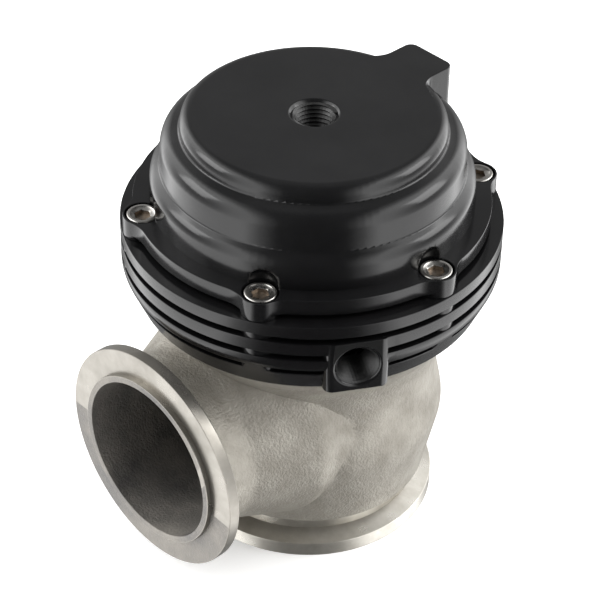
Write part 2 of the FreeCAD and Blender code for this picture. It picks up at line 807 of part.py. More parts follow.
def piston():
    """Cup that carries the springs, with a hub under the nut."""
    bore = "(stem_end_radius + fit_gap)"
    inside = "(piston_radius - piston_wall)"
    hub_top = "(piston_floor + piston_hub_height)"
    return turned("piston", [
        (bore, "0"),
        ("piston_radius", "0", "piston_wall / 2"),
        ("piston_radius", "piston_height"),
        (inside, "piston_height"),
        (inside, "piston_floor"),
        ("piston_hub_radius", "piston_floor"),
        ("piston_hub_radius", hub_top),
        (bore, hub_top),
    ], z=DIAPHRAGM_PLANE)


def piston_fasteners():
    """Washer and nut that clamp the piston, diaphragm and plate on the stem's end."""
    bore = "(stem_end_radius + fit_gap)"
    washer = turned("piston_washer", [
        (bore, "0"),
        ("nut_washer_radius", "0"),
        ("nut_washer_radius", "nut_washer_height"),
        (bore, "nut_washer_height"),
    ], z=f"{NUT_BASE} - nut_washer_height")
    blank = hexagon("nut_blank", "nut_flats", "nut_height", z=NUT_BASE)
    hole = cylinder("nut_hole", bore, "nut_height", z=NUT_BASE)
    return [washer, cut("piston_nut", blank, hole)]


def spring(label, radius, wire, turns):
    """Compression spring between the piston's floor and the cap's ceiling, with its ends ground flat."""
    length = f"({SPRING_CEILING} - {SPRING_FLOOR})"
    path_height = f"({length} - (1 - spring_grinding) * {wire})"
    path_foot = f"({SPRING_FLOOR} + (1 - spring_grinding) * {wire} / 2)"
    helix = doc.addObject("Part::Helix", f"{label}_path")
    bind(helix, Radius=radius, Height=path_height, Pitch=f"{path_height} / ({turns})")
    place(helix, z=path_foot)
    section = doc.addObject("Part::Circle", f"{label}_section")
    bind(section, Radius=f"{wire} / 2")
    place(section, x=radius, z=path_foot, turn=((1, 0, 0), 90))
    coil = doc.addObject("Part::Sweep", f"{label}_coil")
    coil.Sections = [section]
    coil.Spine = helix
    coil.Solid = True
    coil.Frenet = True
    room = cylinder(f"{label}_room", f"{radius} + {wire}", length, z=SPRING_FLOOR)
    return common(label, coil, room)


# ---------------------------------------------------------------- top cap

def lobed_plate(label, ring_radius, blend, height, z):
    """Round plate with a lobe at each screw, and the corners between them blended."""
    disc = cylinder(f"{label}_disc", ring_radius, height, z=z)
    plate = fused(f"{label}_plate", disc, *lobes(f"{label}_lobe", "lobe_radius", height, z))
    return rounded(label, plate, blend, upright)


def top_cap():
    """Stepped cap: three round tiers on a lobed flange, with a top port and a side port boss."""
    low_top = "(lobe_height + low_tier_height)"
    middle_foot = f"({low_top} + tier_slope)"
    middle_top = f"({middle_foot} + middle_tier_height)"
    top = "(lobe_height + dome_height)"
    dome = turned("dome", [
        ("0", "0"),
        ("slot_floor_radius", "0"),
        ("slot_floor_radius", "lobe_height"),
        ("low_tier_radius", "lobe_height"),
        ("low_tier_radius - low_tier_draft", low_top, "low_rounding"),
        ("middle_tier_radius", middle_foot, "crease_rounding"),
        ("middle_tier_radius - middle_tier_draft", middle_top, "middle_rounding"),
        ("top_tier_radius + top_tier_draft", f"{top} - top_tier_height", "crease_rounding"),
        ("top_tier_radius", top, "top_rounding"),
        ("0", top),
    ], z=PARTING)
    relief = "(lobe_height - flange_thickness)"
    flange = lobed_plate("cap_flange", "flange_radius", "lobe_blend", "flange_thickness", f"{PARTING} + {relief}")
    feet = lobed_plate("cap_feet", "slot_floor_radius", "foot_blend", relief, PARTING)

    half = "(side_boss_width / 2)"
    boss = padded("side_boss", [
        ("0", "0"),
        ("side_boss_spread", "side_boss_root - side_boss_drop"),
        (half, "side_boss_root", "side_boss_blend"),
        (half, "side_boss_reach", "side_boss_corner"),
        (f"-{half}", "side_boss_reach", "side_boss_corner"),
        (f"-{half}", "side_boss_root", "side_boss_blend"),
        ("-side_boss_spread", "side_boss_root - side_boss_drop"),
    ], "side_boss_height", z=f"{CAP_TOP} - side_boss_height")
    solid = fused("cap_solid", dome, flange, feet, boss)

    ceiling = f"({top} - cap_top_wall)"
    cavity = turned("cap_cavity", [
        ("0", "0"),
        ("cap_cavity_radius", "0"),
        ("cap_cavity_radius", f"{top} - cap_shoulder_depth", "middle_rounding"),
        ("cap_spring_room_radius", f"{top} - cap_shoulder_depth"),
        ("cap_spring_room_radius", ceiling),
        ("port_boss_radius", ceiling),
        ("port_boss_radius", f"{top} - top_port_depth"),
        ("0", f"{top} - top_port_depth"),
    ], z=PARTING)
    mouth = "(top_port_mouth - top_port_radius)"
    top_port = turned("top_port", [
        ("0", "0"),
        ("top_port_radius", "0"),
        ("top_port_radius", f"top_port_depth - {mouth}"),
        ("top_port_mouth", "top_port_depth"),
        ("0", "top_port_depth"),
    ], z=f"{CAP_TOP} - top_port_depth")
    side_mouth = "(side_port_mouth - side_port_radius)"
    side_port = turned("side_port", [
        ("0", "cap_spring_room_radius - overlap"),
        ("passage_radius", "cap_spring_room_radius - overlap"),
        ("passage_radius", "side_boss_reach - side_port_depth"),
        ("side_port_radius", "side_boss_reach - side_port_depth"),
        ("side_port_radius", f"side_boss_reach - {side_mouth}"),
        ("side_port_mouth", "side_boss_reach"),
        ("0", "side_boss_reach"),
    ], z=f"{CAP_TOP} - side_boss_height / 2", turn=((1, 0, 0), -90))
    pocket_base = f"({FLANGE_TOP} - screw_head_height)"
    pockets = [
        cylinder(f"screw_pocket_{i}", "pocket_radius", "pocket_rise", x, y, pocket_base)
        for i, x, y in around("screw_count", "screw_circle")
    ]
    pocket_ends = [
        sphere(f"screw_pocket_end_{i}", "pocket_radius", x, y, f"{pocket_base} + pocket_rise")
        for i, x, y in around("screw_count", "screw_circle")
    ]
    holes = [
        cylinder(f"cap_hole_{i}", "screw_radius + hole_gap", "lobe_height", x, y, PARTING)
        for i, x, y in around("screw_count", "screw_circle")
    ]
    return cut("top_cap", solid, cavity, top_port, side_port, *pockets, *pocket_ends, *holes)


def cap_screws():
    """Six low-head screws that clamp the cap and the diaphragm's rim to the housing."""
    seat = f"({FLANGE_TOP} - screw_head_height)"
    screws = [
        cap_screw(f"cap_screw_{i}", x, y, seat, "screw_head_height", "screw_length")
        for i, x, y in around("screw_count", "screw_circle")
    ]
    return grouped("cap_screws", screws)


def failed(thing):
    """Whether an object of the document did not recompute."""
    return any(state in ("Invalid", "Error") for state in thing.State)


def main():
    """Build the document, test it and write one file for each piece."""
    fill_sheet()
    nodes = [inlet_flange(), valve_body(), valve_seat(), poppet_valve()]
    nodes += [stem_guide(), stem_scraper(), body_gasket()]
    nodes += [actuator_housing(), *hub_pieces(), *housing_screws()]
    nodes += [diaphragm(), diaphragm_plate(), piston(), *piston_fasteners()]
    nodes += [
        spring("outer_spring", "outer_spring_radius", "outer_spring_wire", "outer_spring_turns"),
        spring("inner_spring", "inner_spring_radius", "inner_spring_wire", "inner_spring_turns"),
    ]
    nodes += [top_cap(), cap_screws()]
    doc.recompute()
    broken = [thing.Label for thing in doc.Objects if failed(thing)]
    if broken:
        raise RuntimeError(f"these objects failed: {', '.join(broken)}")
    os.makedirs("parts", exist_ok=True)
    for node in nodes:
        if node.Shape.isNull() or not node.Shape.isValid():
            raise RuntimeError(f"{node.Label} has no valid shape")
        node.Shape.exportStep(f"parts/{node.Label}.step")
        print(f"{node.Label:18s} {len(node.Shape.Solids)} solid(s) {node.Shape.Volume:10.1f} mm3")


main()
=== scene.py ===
"""Looks of an external turbo wastegate: finishes, fasteners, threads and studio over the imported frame.

Every length is in metres in the frame's own axes: +Z up the valve stem, -Y out of the outlet.
"""

import json
import logging
import math
from dataclasses import dataclass
from enum import Enum

import bmesh
import bpy
from mathutils import Matrix, Vector

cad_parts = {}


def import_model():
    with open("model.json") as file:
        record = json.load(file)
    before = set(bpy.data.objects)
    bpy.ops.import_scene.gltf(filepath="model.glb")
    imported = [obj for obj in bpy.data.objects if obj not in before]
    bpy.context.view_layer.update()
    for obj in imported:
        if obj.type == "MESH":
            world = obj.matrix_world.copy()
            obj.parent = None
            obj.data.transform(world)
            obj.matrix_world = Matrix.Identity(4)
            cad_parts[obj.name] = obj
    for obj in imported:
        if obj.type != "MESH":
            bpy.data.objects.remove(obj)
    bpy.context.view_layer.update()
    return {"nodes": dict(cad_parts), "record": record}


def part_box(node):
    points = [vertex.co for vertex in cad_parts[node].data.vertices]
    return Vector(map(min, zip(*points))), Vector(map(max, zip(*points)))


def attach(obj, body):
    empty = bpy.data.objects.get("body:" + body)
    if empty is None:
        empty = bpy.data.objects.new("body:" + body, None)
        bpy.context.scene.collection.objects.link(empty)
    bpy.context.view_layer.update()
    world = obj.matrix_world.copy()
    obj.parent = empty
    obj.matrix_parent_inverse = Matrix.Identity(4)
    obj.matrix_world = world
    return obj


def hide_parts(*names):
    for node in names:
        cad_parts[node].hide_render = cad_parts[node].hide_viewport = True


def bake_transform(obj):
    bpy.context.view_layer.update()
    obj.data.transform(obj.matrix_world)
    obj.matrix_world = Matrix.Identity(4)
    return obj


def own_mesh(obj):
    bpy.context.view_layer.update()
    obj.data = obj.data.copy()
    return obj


MM = 0.001
UP = Vector((0, 0, 1))
OUTLET_HEIGHT = 39 * MM
Scalar = float | bpy.types.NodeSocket
Triple = Vector | bpy.types.NodeSocket
log = logging.getLogger("wastegate")


class Body(Enum):
    """Bodies of the frame that pieces ride on."""

    CASE = "case"
    VALVE = "valve"


class Slot(Enum):
    """Material slots of the record, named with new pieces but not given to them."""

    CASTING = "cast_stainless"
    SEAT = "hardened_steel"
    VALVE = "valve_steel"
    GASKET = "gasket_steel"
    BLACK = "black_aluminium"
    SCREW = "screw_steel"
    DIAPHRAGM = "diaphragm_rubber"
    SPRING = "spring_steel"


class Graph:
    """A node tree being filled, with short calls to add and join nodes."""

    def __init__(self, tree: bpy.types.NodeTree) -> None:
        """Keep what the methods work with.

        Args:
            tree: the shader or geometry tree that is filled.
        """
        self.tree = tree

    def add(self, kind: str, inputs: dict | None = None,
            **settings: str | bpy.types.NodeTree) -> bpy.types.Node:
        """Add a node.

        Args:
            kind: the node's type name.
            inputs: socket name or index to a value, or to the output socket that feeds it.
            settings: properties of the node.

        Returns:
            The new node.
        """
        node = self.tree.nodes.new(kind)
        for name, value in settings.items():
            setattr(node, name, value)
        for key, value in (inputs or {}).items():
            if isinstance(value, bpy.types.NodeSocket):
                self.tree.links.new(value, node.inputs[key])
            else:
                node.inputs[key].default_value = value
        return node

    def math(self, operation: str, first: Scalar, second: Scalar = 0.0) -> bpy.types.NodeSocket:
        """One arithmetic step.

        Args:
            operation: Math node operation.
            first: value or socket.
            second: value or socket.

        Returns:
            The result's socket.
        """
        return self.add("ShaderNodeMath", {0: first, 1: second}, operation=operation).outputs[0]

    def vector(self, operation: str, first: Triple, second: Triple | None = None) -> bpy.types.Node:
        """One vector step.

        Args:
            operation: Vector Math operation.
            first: vector or socket.
            second: vector or socket, where the operation takes one.

        Returns:
            The node, for its Vector or Value output.
        """
        inputs = {0: first}
        if second is not None:
            inputs[1] = second
        return self.add("ShaderNodeVectorMath", inputs, operation=operation)


def group(name: str, kind: str, inputs: dict,
          outputs: dict) -> tuple[Graph, bpy.types.Node, bpy.types.Node]:
    """Start a node group.

    Args:
        name: the group's name.
        kind: ShaderNodeTree or GeometryNodeTree.
        inputs: socket name to (socket type, default or None).
        outputs: socket name to socket type.

    Returns:
        The graph, its input node and its output node.
    """
    tree = bpy.data.node_groups.new(name, kind)
    for label, (socket, default) in inputs.items():
        made = tree.interface.new_socket(label, in_out="INPUT", socket_type=socket)
        if default is not None:
            made.default_value = default
    for label, socket in outputs.items():
        tree.interface.new_socket(label, in_out="OUTPUT", socket_type=socket)
    graph = Graph(tree)
    return graph, graph.add("NodeGroupInput"), graph.add("NodeGroupOutput")


class Effects:
    """Shader groups that the finishes share."""

    COARSE_SHARE = 0.7
    FINE_SCALE = 2.7
    PATCH_RANGE = (0.35, 0.68)

    def __init__(self) -> None:
        """Build each group once."""
        self.grain = self._grain()
        self.lines = self._lines()
        self.patches = self._patches()

    @staticmethod
    def _place(graph: Graph, size: bpy.types.NodeSocket) -> bpy.types.NodeSocket:
        """Object coordinates counted in a feature's own size.

        Args:
            graph: the group being filled.
            size: socket with the feature's size in metres.

        Returns:
            Vector socket.
        """
        where = graph.add("ShaderNodeTexCoord").outputs["Object"]
        scaled = graph.add("ShaderNodeVectorMath", {0: where}, operation="SCALE")
        graph.tree.links.new(graph.math("DIVIDE", 1.0, size), scaled.inputs["Scale"])
        return scaled.outputs[0]

    def _grain(self) -> bpy.types.NodeTree:
        """Pebbled skin of a cast or sprayed surface, as a height from 0 to 1.

        Returns:
            The group.
        """
        graph, given, made = group("grain", "ShaderNodeTree", {"Size": ("NodeSocketFloat", 0.0005)},
                                   {"Height": "NodeSocketFloat"})
        where = self._place(graph, given.outputs["Size"])
        coarse = graph.add("ShaderNodeTexNoise", {"Vector": where, "Scale": 1.0, "Detail": 1.0})
        fine = graph.add("ShaderNodeTexNoise", {"Vector": where, "Scale": self.FINE_SCALE, "Detail": 2.0})
        total = graph.math("ADD", graph.math("MULTIPLY", coarse.outputs[0], self.COARSE_SHARE),
                           graph.math("MULTIPLY", fine.outputs[0], 1 - self.COARSE_SHARE))
        graph.tree.links.new(total, made.inputs["Height"])
        return graph.tree

    def _lines(self) -> bpy.types.NodeTree:
        """Turning marks round an axis, as a height from 0 to 1.

        Returns:
            The group.
        """
        graph, given, made = group(
            "turning_lines", "ShaderNodeTree",
            {"Centre": ("NodeSocketVector", None), "Axis": ("NodeSocketVector", None),
             "Pitch": ("NodeSocketFloat", 0.0002)},
            {"Height": "NodeSocketFloat"})
        where = graph.add("ShaderNodeTexCoord").outputs["Object"]
        offset = graph.vector("SUBTRACT", where, given.outputs["Centre"]).outputs[0]
        along = graph.vector("DOT_PRODUCT", offset, given.outputs["Axis"]).outputs["Value"]
        shadow = graph.add("ShaderNodeVectorMath", {0: given.outputs["Axis"]}, operation="SCALE")
        graph.tree.links.new(along, shadow.inputs["Scale"])
        radial = graph.vector("SUBTRACT", offset, shadow.outputs[0]).outputs[0]
        radius = graph.vector("LENGTH", radial).outputs["Value"]
        travel = graph.math("DIVIDE", graph.math("ADD", radius, along), given.outputs["Pitch"])
        noise = graph.add("ShaderNodeTexNoise", {"W": travel, "Scale": 1.0, "Detail": 2.0},
                          noise_dimensions="1D")
        graph.tree.links.new(noise.outputs[0], made.inputs["Height"])
        return graph.tree

    def _patches(self) -> bpy.types.NodeTree:
        """Soft uneven patches, as a mask from 0 to 1.

        Returns:
            The group.
        """
        graph, given, made = group("patches", "ShaderNodeTree", {"Size": ("NodeSocketFloat", 0.01)},
                                   {"Mask": "NodeSocketFloat"})
        where = self._place(graph, given.outputs["Size"])
        noise = graph.add("ShaderNodeTexNoise",
                          {"Vector": where, "Scale": 1.0, "Detail": 4.0, "Roughness": 0.6})
        low, high = self.PATCH_RANGE
        spread = graph.add("ShaderNodeMapRange",
                           {"Value": noise.outputs[0], "From Min": low, "From Max": high})
        graph.tree.links.new(spread.outputs[0], made.inputs["Mask"])
        return graph.tree


@dataclass(frozen=True)
class Turning:
    """Turning marks about an axis."""

    centre: tuple[float, float, float] = (0.0, 0.0, 0.0)
    axis: tuple[float, float, float] = (0.0, 0.0, 1.0)
    pitch: float = 0.22 * MM
    depth: float = 0.004 * MM


@dataclass(frozen=True)
class Finish:
    """One finish: two shades that drift into each other, gloss that drifts with them, and relief.

    The gloss pair is the roughness of the colour and of the shade.
    """

    name: str
    colour: tuple[float, float, float]
    shade: tuple[float, float, float]
    gloss: tuple[float, float]
    metallic: float = 1.0
    patch_size: float = 9 * MM
    grain_size: float = 0.5 * MM
    grain_height: float = 0.01 * MM
    turning: Turning | None = None
    coat: float = 0.0
    sheen: float = 0.0
    specular: float = 0.5
    coat_roughness: float = 0.12

    def material(self, effects: Effects) -> bpy.types.Material:
        """Build the finish.

        Args:
            effects: the shared shader groups.

        Returns:
            The material.
        """
        made = bpy.data.materials.new(self.name)
        made.use_nodes = True
        graph = Graph(made.node_tree)
        shader = made.node_tree.nodes["Principled BSDF"]
        plain = {"Metallic": self.metallic, "Coat Weight": self.coat, "Coat Roughness": self.coat_roughness,
                 "Sheen Weight": self.sheen, "Specular IOR Level": self.specular}
        for socket, value in plain.items():
            shader.inputs[socket].default_value = value
        patches = graph.add("ShaderNodeGroup", node_tree=effects.patches)
        patches.inputs["Size"].default_value = self.patch_size
        mask = patches.outputs["Mask"]
        tint = graph.add("ShaderNodeMix", {0: mask, 6: (*self.colour, 1), 7: (*self.shade, 1)},
                         data_type="RGBA")
        rough = graph.add("ShaderNodeMapRange",
                          {"Value": mask, "To Min": self.gloss[0], "To Max": self.gloss[1]})
        grain = graph.add("ShaderNodeGroup", node_tree=effects.grain)
        grain.inputs["Size"].default_value = self.grain_size
        relief = graph.add("ShaderNodeBump", {"Strength": 1.0, "Distance": self.grain_height,
                                              "Height": grain.outputs["Height"]})
        if self.turning:
            lines = graph.add("ShaderNodeGroup", node_tree=effects.lines)
            lines.inputs["Centre"].default_value = self.turning.centre
            lines.inputs["Axis"].default_value = self.turning.axis
            lines.inputs["Pitch"].default_value = self.turning.pitch
            relief = graph.add("ShaderNodeBump", {
                "Strength": 1.0, "Distance": self.turning.depth, "Height": lines.outputs["Height"],
                "Normal": relief.outputs[0]})
        made.node_tree.links.new(tint.outputs[2], shader.inputs["Base Color"])
        made.node_tree.links.new(rough.outputs[0], shader.inputs["Roughness"])
        made.node_tree.links.new(relief.outputs[0], shader.inputs["Normal"])
        return made


class Finishes:
    """Every finish of the part, built once."""

    UPRIGHT = Turning()
    OUTLET = Turning(centre=(0.0, 0.0, OUTLET_HEIGHT), axis=(0.0, 1.0, 0.0))
    FINE = 0.002 * MM

    def __init__(self) -> None:
        """Build the shared effects and the materials."""
        effects = Effects()

        def made(*looks: str | tuple, **sizes: float | Turning) -> bpy.types.Material:
            """Material of one finish, from the finish's fields."""
            return Finish(*looks, **sizes).material(effects)

        self.casting = made("cast_stainless_skin", (0.345, 0.325, 0.285), (0.255, 0.238, 0.205), (0.48, 0.60),
                            metallic=0.55, grain_size=0.75 * MM, grain_height=0.30 * MM)
        # Painted shade: a darker casting colour for the walls of the passages and the chamber, where shade
        # falls.
        self.bore = made("bore_painted_shade", (0.13, 0.125, 0.12), (0.30, 0.28, 0.25), (0.40, 0.55),
                         metallic=0.6, patch_size=16 * MM, grain_size=0.7 * MM, grain_height=0.25 * MM)
        self.machined = made("machined_inlet", (0.56, 0.54, 0.49), (0.40, 0.375, 0.33), (0.26, 0.36),
                             metallic=0.78, grain_height=self.FINE, turning=self.UPRIGHT)
        self.outlet = made("machined_outlet", (0.33, 0.312, 0.28), (0.255, 0.24, 0.212), (0.26, 0.36),
                           metallic=0.85, grain_height=self.FINE, turning=self.OUTLET)
        self.black = made("gloss_black", (0.004, 0.004, 0.0043), (0.007, 0.007, 0.0073), (0.15, 0.19),
                          metallic=0.0, patch_size=22 * MM, grain_size=1.6 * MM, grain_height=0.004 * MM,
                          specular=0.45)
        self.tapped = made("matt_black", (0.004, 0.004, 0.004), (0.006, 0.006, 0.006), (0.45, 0.55),
                           metallic=0.0, patch_size=3 * MM, grain_height=self.FINE, specular=0.2)
        self.screw = made("screw_steel_turned", (0.62, 0.61, 0.58), (0.48, 0.46, 0.43), (0.22, 0.34),
                          patch_size=3 * MM, grain_height=self.FINE)
        self.recess = made("screw_recess", (0.46, 0.40, 0.34), (0.28, 0.235, 0.19), (0.35, 0.50),
                           patch_size=1.2 * MM, grain_size=0.3 * MM)
        self.thread = made("thread_black", (0.012, 0.012, 0.012), (0.03, 0.03, 0.03), (0.28, 0.38),
                           metallic=0.2, patch_size=2 * MM, grain_size=0.3 * MM, grain_height=0.003 * MM)
        self.seat = made("ground_seat", (0.55, 0.54, 0.52), (0.40, 0.37, 0.33), (0.20, 0.32),
                         grain_height=self.FINE, turning=self.UPRIGHT)
        self.valve = made("ground_valve", (0.50, 0.48, 0.46), (0.36, 0.33, 0.30), (0.22, 0.36),
                          grain_height=self.FINE, turning=self.UPRIGHT)
        self.gasket = made("gasket_steel_bare", (0.60, 0.59, 0.56), (0.45, 0.43, 0.40), (0.30, 0.42),
                           grain_height=0.004 * MM)
        self.bronze = made("turned_bronze", (0.50, 0.33, 0.14), (0.36, 0.22, 0.09), (0.28, 0.40),
                           grain_height=self.FINE, turning=self.UPRIGHT)
        self.graphite = made("pressed_graphite", (0.05, 0.05, 0.052), (0.03, 0.03, 0.03), (0.45, 0.60),
                             metallic=0.0)
        self.seal = made("moulded_seal", (0.02, 0.02, 0.02), (0.035, 0.033, 0.03), (0.50, 0.65),
                         metallic=0.0, sheen=0.1)
        self.diaphragm = made("coated_fabric", (0.10, 0.035, 0.02), (0.07, 0.025, 0.015), (0.55, 0.70),
                              metallic=0.0, grain_size=0.8 * MM, grain_height=0.03 * MM, sheen=0.2)
        self.aluminium = made("turned_aluminium", (0.72, 0.72, 0.73), (0.60, 0.60, 0.61), (0.26, 0.38),
                              grain_height=self.FINE, turning=self.UPRIGHT)
        self.spring = made("oiled_spring", (0.16, 0.17, 0.18), (0.09, 0.095, 0.10), (0.25, 0.38),
                           coat=0.3, grain_height=0.003 * MM)


def adopt(name: str, mesh: bpy.types.Mesh, slot: Slot, body: Body, *nodes: str) -> bpy.types.Object:
    """Turn a finished mesh into a piece of the part.

    Args:
        name: the piece's name.
        mesh: its mesh, in the frame's own axes.
        slot: the record's material slot named for it; not used.
        body: the body it rides on.
        nodes: the CAD nodes it stands for.

    Returns:
        The piece.
    """
    piece = bpy.data.objects.new(name, mesh)
    bpy.context.scene.collection.objects.link(piece)
    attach(piece, body.value)
    if nodes:
        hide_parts(*nodes)
    log.info("%s: %d faces", name, len(mesh.polygons))
    return piece


def dress(mesh: bpy.types.Mesh, *materials: bpy.types.Material) -> None:
    """Give a mesh new materials in place of those it has.

    Args:
        mesh: the mesh.
        materials: its materials, in the order of their slots.
    """
    mesh.materials.clear()
    for material in materials:
        mesh.materials.append(material)


def hosted(mesh: bpy.types.Mesh, name: str) -> bpy.types.Object:
    """Put a mesh on an object of its own, to carry modifiers.

    Args:
        mesh: the mesh.
        name: the name of the mesh that the object will be baked into.

    Returns:
        The object.
    """
    host = bpy.data.objects.new(f"{name}_host", mesh)
    bpy.context.scene.collection.objects.link(host)
    return host


def bake(host: bpy.types.Object, name: str) -> bpy.types.Mesh:
    """Evaluate an object's modifiers into a new mesh and remove the object.

    Args:
        host: the object with its modifiers.
        name: the new mesh's name.

    Returns:
        The evaluated mesh.
    """
    seen = host.evaluated_get(bpy.context.evaluated_depsgraph_get())
    mesh = bpy.data.meshes.new_from_object(seen)
    mesh.name = name
    bpy.data.objects.remove(host)
    return mesh


@dataclass(frozen=True)
class Skin:
    """How a CAD node's triangles are merged and its edges eased.

    Merge and edge are lengths, sliver is an area, and flat and crease are angles between faces.
    """

    merge: float = 0.004 * MM
    flat: float = math.radians(0.03)
    crease: float = math.radians(38)
    edge: float = 0.25 * MM
    segments: int = 2
    sliver: float = 0.03 * MM * MM

    def creased(self, edge: bmesh.types.BMEdge) -> bool:
        """Whether an edge is a real crease, and not one side of a sliver of a face.

        Args:
            edge: the edge.

        Returns:
            True for a crease.
        """
        return (edge.is_manifold and edge.calc_face_angle() > self.crease
                and min(face.calc_area() for face in edge.link_faces) > self.sliver)


def softened(node: bpy.types.Object, name: str, skin: Skin) -> bpy.types.Mesh:
    """Merged copy of a CAD node with smooth faces and eased edges.

    Args:
        node: the CAD node's object.
        name: the new mesh's name.
        skin: merging and easing sizes.

    Returns:
        The new mesh.
    """
    shape = bmesh.new()
    shape.from_mesh(node.data)
    bmesh.ops.remove_doubles(shape, verts=shape.verts, dist=skin.merge)
    bmesh.ops.dissolve_limit(shape, angle_limit=skin.flat, verts=shape.verts, edges=shape.edges,
                             use_dissolve_boundaries=False)
    bmesh.ops.recalc_face_normals(shape, faces=shape.faces)
    creases = [edge for edge in shape.edges if edge.is_convex and skin.creased(edge)]
    bmesh.ops.bevel(shape, geom=creases, offset=skin.edge, offset_type="OFFSET", segments=skin.segments,
                    profile=0.5, affect="EDGES", clamp_overlap=False, harden_normals=False)
    for edge in shape.edges:
        edge.smooth = not skin.creased(edge)
    mesh = bpy.data.meshes.new(name)
    shape.to_mesh(mesh)
    shape.free()
    mesh.polygons.foreach_set("use_smooth", [True] * len(mesh.polygons))
    host = hosted(mesh, name)
    weighting = host.modifiers.new("weigh", "WEIGHTED_NORMAL")
    weighting.mode = "FACE_AREA_WITH_ANGLE"
    weighting.keep_sharp = True
    return bake(host, name)


def tapped_ports(mounts: list[dict]) -> list[dict]:
    """The record's mounts that are tapped ports."""
    return [mount for mount in mounts if mount["kind"] == "threaded_hole"]


class Shells:
    """CAD nodes shown as merged, eased copies or with a finish of their own."""

    OUTLET_FLANGE = -52.9 * MM
    BORE_RADIUS = 23.05 * MM
    CHAMBER_RADIUS = 31.05 * MM
    CHAMBER_ROOF = 56.6 * MM
    PORT_END = 1.0 * MM
    PORT_WALL = 0.05 * MM

    def __init__(self, nodes: dict, finishes: Finishes, mounts: list[dict]) -> None:
        """Keep what the methods work with.

        Args:
            nodes: the frame's CAD objects by name.
            finishes: the part's finishes.
            mounts: the record's mounts.
        """
        self.nodes = nodes
        self.finishes = finishes
        self.ports = tapped_ports(mounts)

    def body(self) -> None:
        """Cast body, with its outlet flange machined and painted shade on its passage and chamber walls."""
        mesh = softened(self.nodes["valve_body"], "cast_body", Skin())
        casting, outlet, bore = range(3)
        dress(mesh, self.finishes.casting, self.finishes.outlet, self.finishes.bore)
        for face in mesh.polygons:
            x, y, z = face.center
            passage = y < 0 and math.hypot(x, z - OUTLET_HEIGHT) < self.BORE_RADIUS
            chamber = z < self.CHAMBER_ROOF and math.hypot(x, y) < self.CHAMBER_RADIUS
            # Painted shade: faces inside the passages and the chamber take the darker bore colour.
            if passage or chamber:
                face.material_index = bore
            else:
                face.material_index = outlet if y < self.OUTLET_FLANGE else casting
        adopt("cast_body", mesh, Slot.CASTING, Body.CASE, "valve_body")

    def tapped(self, where: Vector) -> bool:
        """Whether a point lies in the bore of a tapped port.

        Args:
            where: the point.

        Returns:
            True inside a port's bore.
        """
        for port in self.ports:
            offset = where - Vector(port["pos_m"])
            along = offset.dot(Vector(port["axis"]))
            aside = (offset - along * Vector(port["axis"])).length
            reach, radius = port["dims"]["length_mm"] * MM / 2, port["dims"]["r_mm"] * MM
            if abs(along) < reach + self.PORT_END and aside < radius + self.PORT_WALL:
                return True
        return False

    def coated(self, node: str, name: str, skin: Skin) -> None:
        """One gloss black shell, matt inside its tapped ports.

        Args:
            node: the CAD node.
            name: the piece's name.
            skin: merging and easing sizes.
        """
        mesh = softened(self.nodes[node], name, skin)
        dress(mesh, self.finishes.black, self.finishes.tapped)
        for face in mesh.polygons:
            face.material_index = int(self.tapped(face.center))
        adopt(name, mesh, Slot.BLACK, Body.CASE, node)

    def shell(self, node: str, name: str, material: bpy.types.Material, slot: Slot, body: Body,
              skin: Skin) -> None:
        """One CAD node as an eased copy.

        Args:
            node: the CAD node.
            name: the piece's name.
            material: its finish.
            slot: the record's slot.
            body: the body it rides on.
            skin: merging and easing sizes.
        """
        mesh = softened(self.nodes[node], name, skin)
        dress(mesh, material)
        adopt(name, mesh, slot, body, node)

    def finish(self, material: bpy.types.Material, *names: str) -> None:
        """Give CAD nodes that keep their own mesh a finish.

        Args:
            material: the finish.
            names: the nodes.
        """
        for name in names:
            dress(self.nodes[name].data, material)
            log.info("%s keeps its mesh, in %s", name, material.name)

    def build(self) -> None:
        """Dress every node that no other class replaces."""
        self.body()
        plain = Skin()
        fine = Skin(edge=0.12 * MM)
        turned = Skin(crease=math.radians(16), edge=0.15 * MM)
        self.shell("inlet_flange", "inlet_ring", self.finishes.machined, Slot.CASTING, Body.CASE, turned)
        self.coated("top_cap", "stepped_cap", plain)
        self.coated("actuator_housing", "finned_housing", plain)
        self.shell("body_gasket", "flange_gasket", self.finishes.gasket, Slot.GASKET, Body.CASE, fine)
        self.shell("valve_seat", "seat_ring", self.finishes.seat, Slot.SEAT, Body.CASE, fine)
        self.shell("poppet_valve", "lifting_valve", self.finishes.valve, Slot.VALVE, Body.VALVE, fine)
        self.finish(self.finishes.bronze, "stem_guide", "rod_bushing")
        self.finish(self.finishes.graphite, "stem_scraper")
        self.finish(self.finishes.seal, "rod_seal")
        self.finish(self.finishes.valve, "seal_retainer")
        self.finish(self.finishes.screw, "housing_screws", "lock_washers", "piston_washer", "piston_nut")
        self.finish(self.finishes.aluminium, "diaphragm_plate", "piston")


def lofted(name: str, loops: list[list[Vector]], recess_from: int, sharp: float) -> bpy.types.Mesh:
    """Closed mesh through loops of as many points each, capped at both ends.

    Args:
        name: the mesh's name.
        loops: rings of points, from the first cap to the last.
        recess_from: the loop from which faces are marked as recess.
        sharp: angle between faces past which an edge is left sharp.

    Returns:
        The mesh.
    """
    shape = bmesh.new()
    recess = shape.faces.layers.int.new("recess")
    rings = [[shape.verts.new(point) for point in loop] for loop in loops]
    shape.faces.new(rings[0])
    for index, (low, high) in enumerate(zip(rings, rings[1:])):
        for i in range(len(low)):
            j = (i + 1) % len(low)
            face = shape.faces.new((low[i], low[j], high[j], high[i]))
            face[recess] = int(index >= recess_from)
    shape.faces.new(rings[-1])[recess] = 1
    bmesh.ops.recalc_face_normals(shape, faces=shape.faces)
    mesh = bpy.data.meshes.new(name)
    shape.to_mesh(mesh)
    shape.free()
    mesh.shade_smooth()
    mesh.set_sharp_from_angle(angle=sharp)
    return mesh


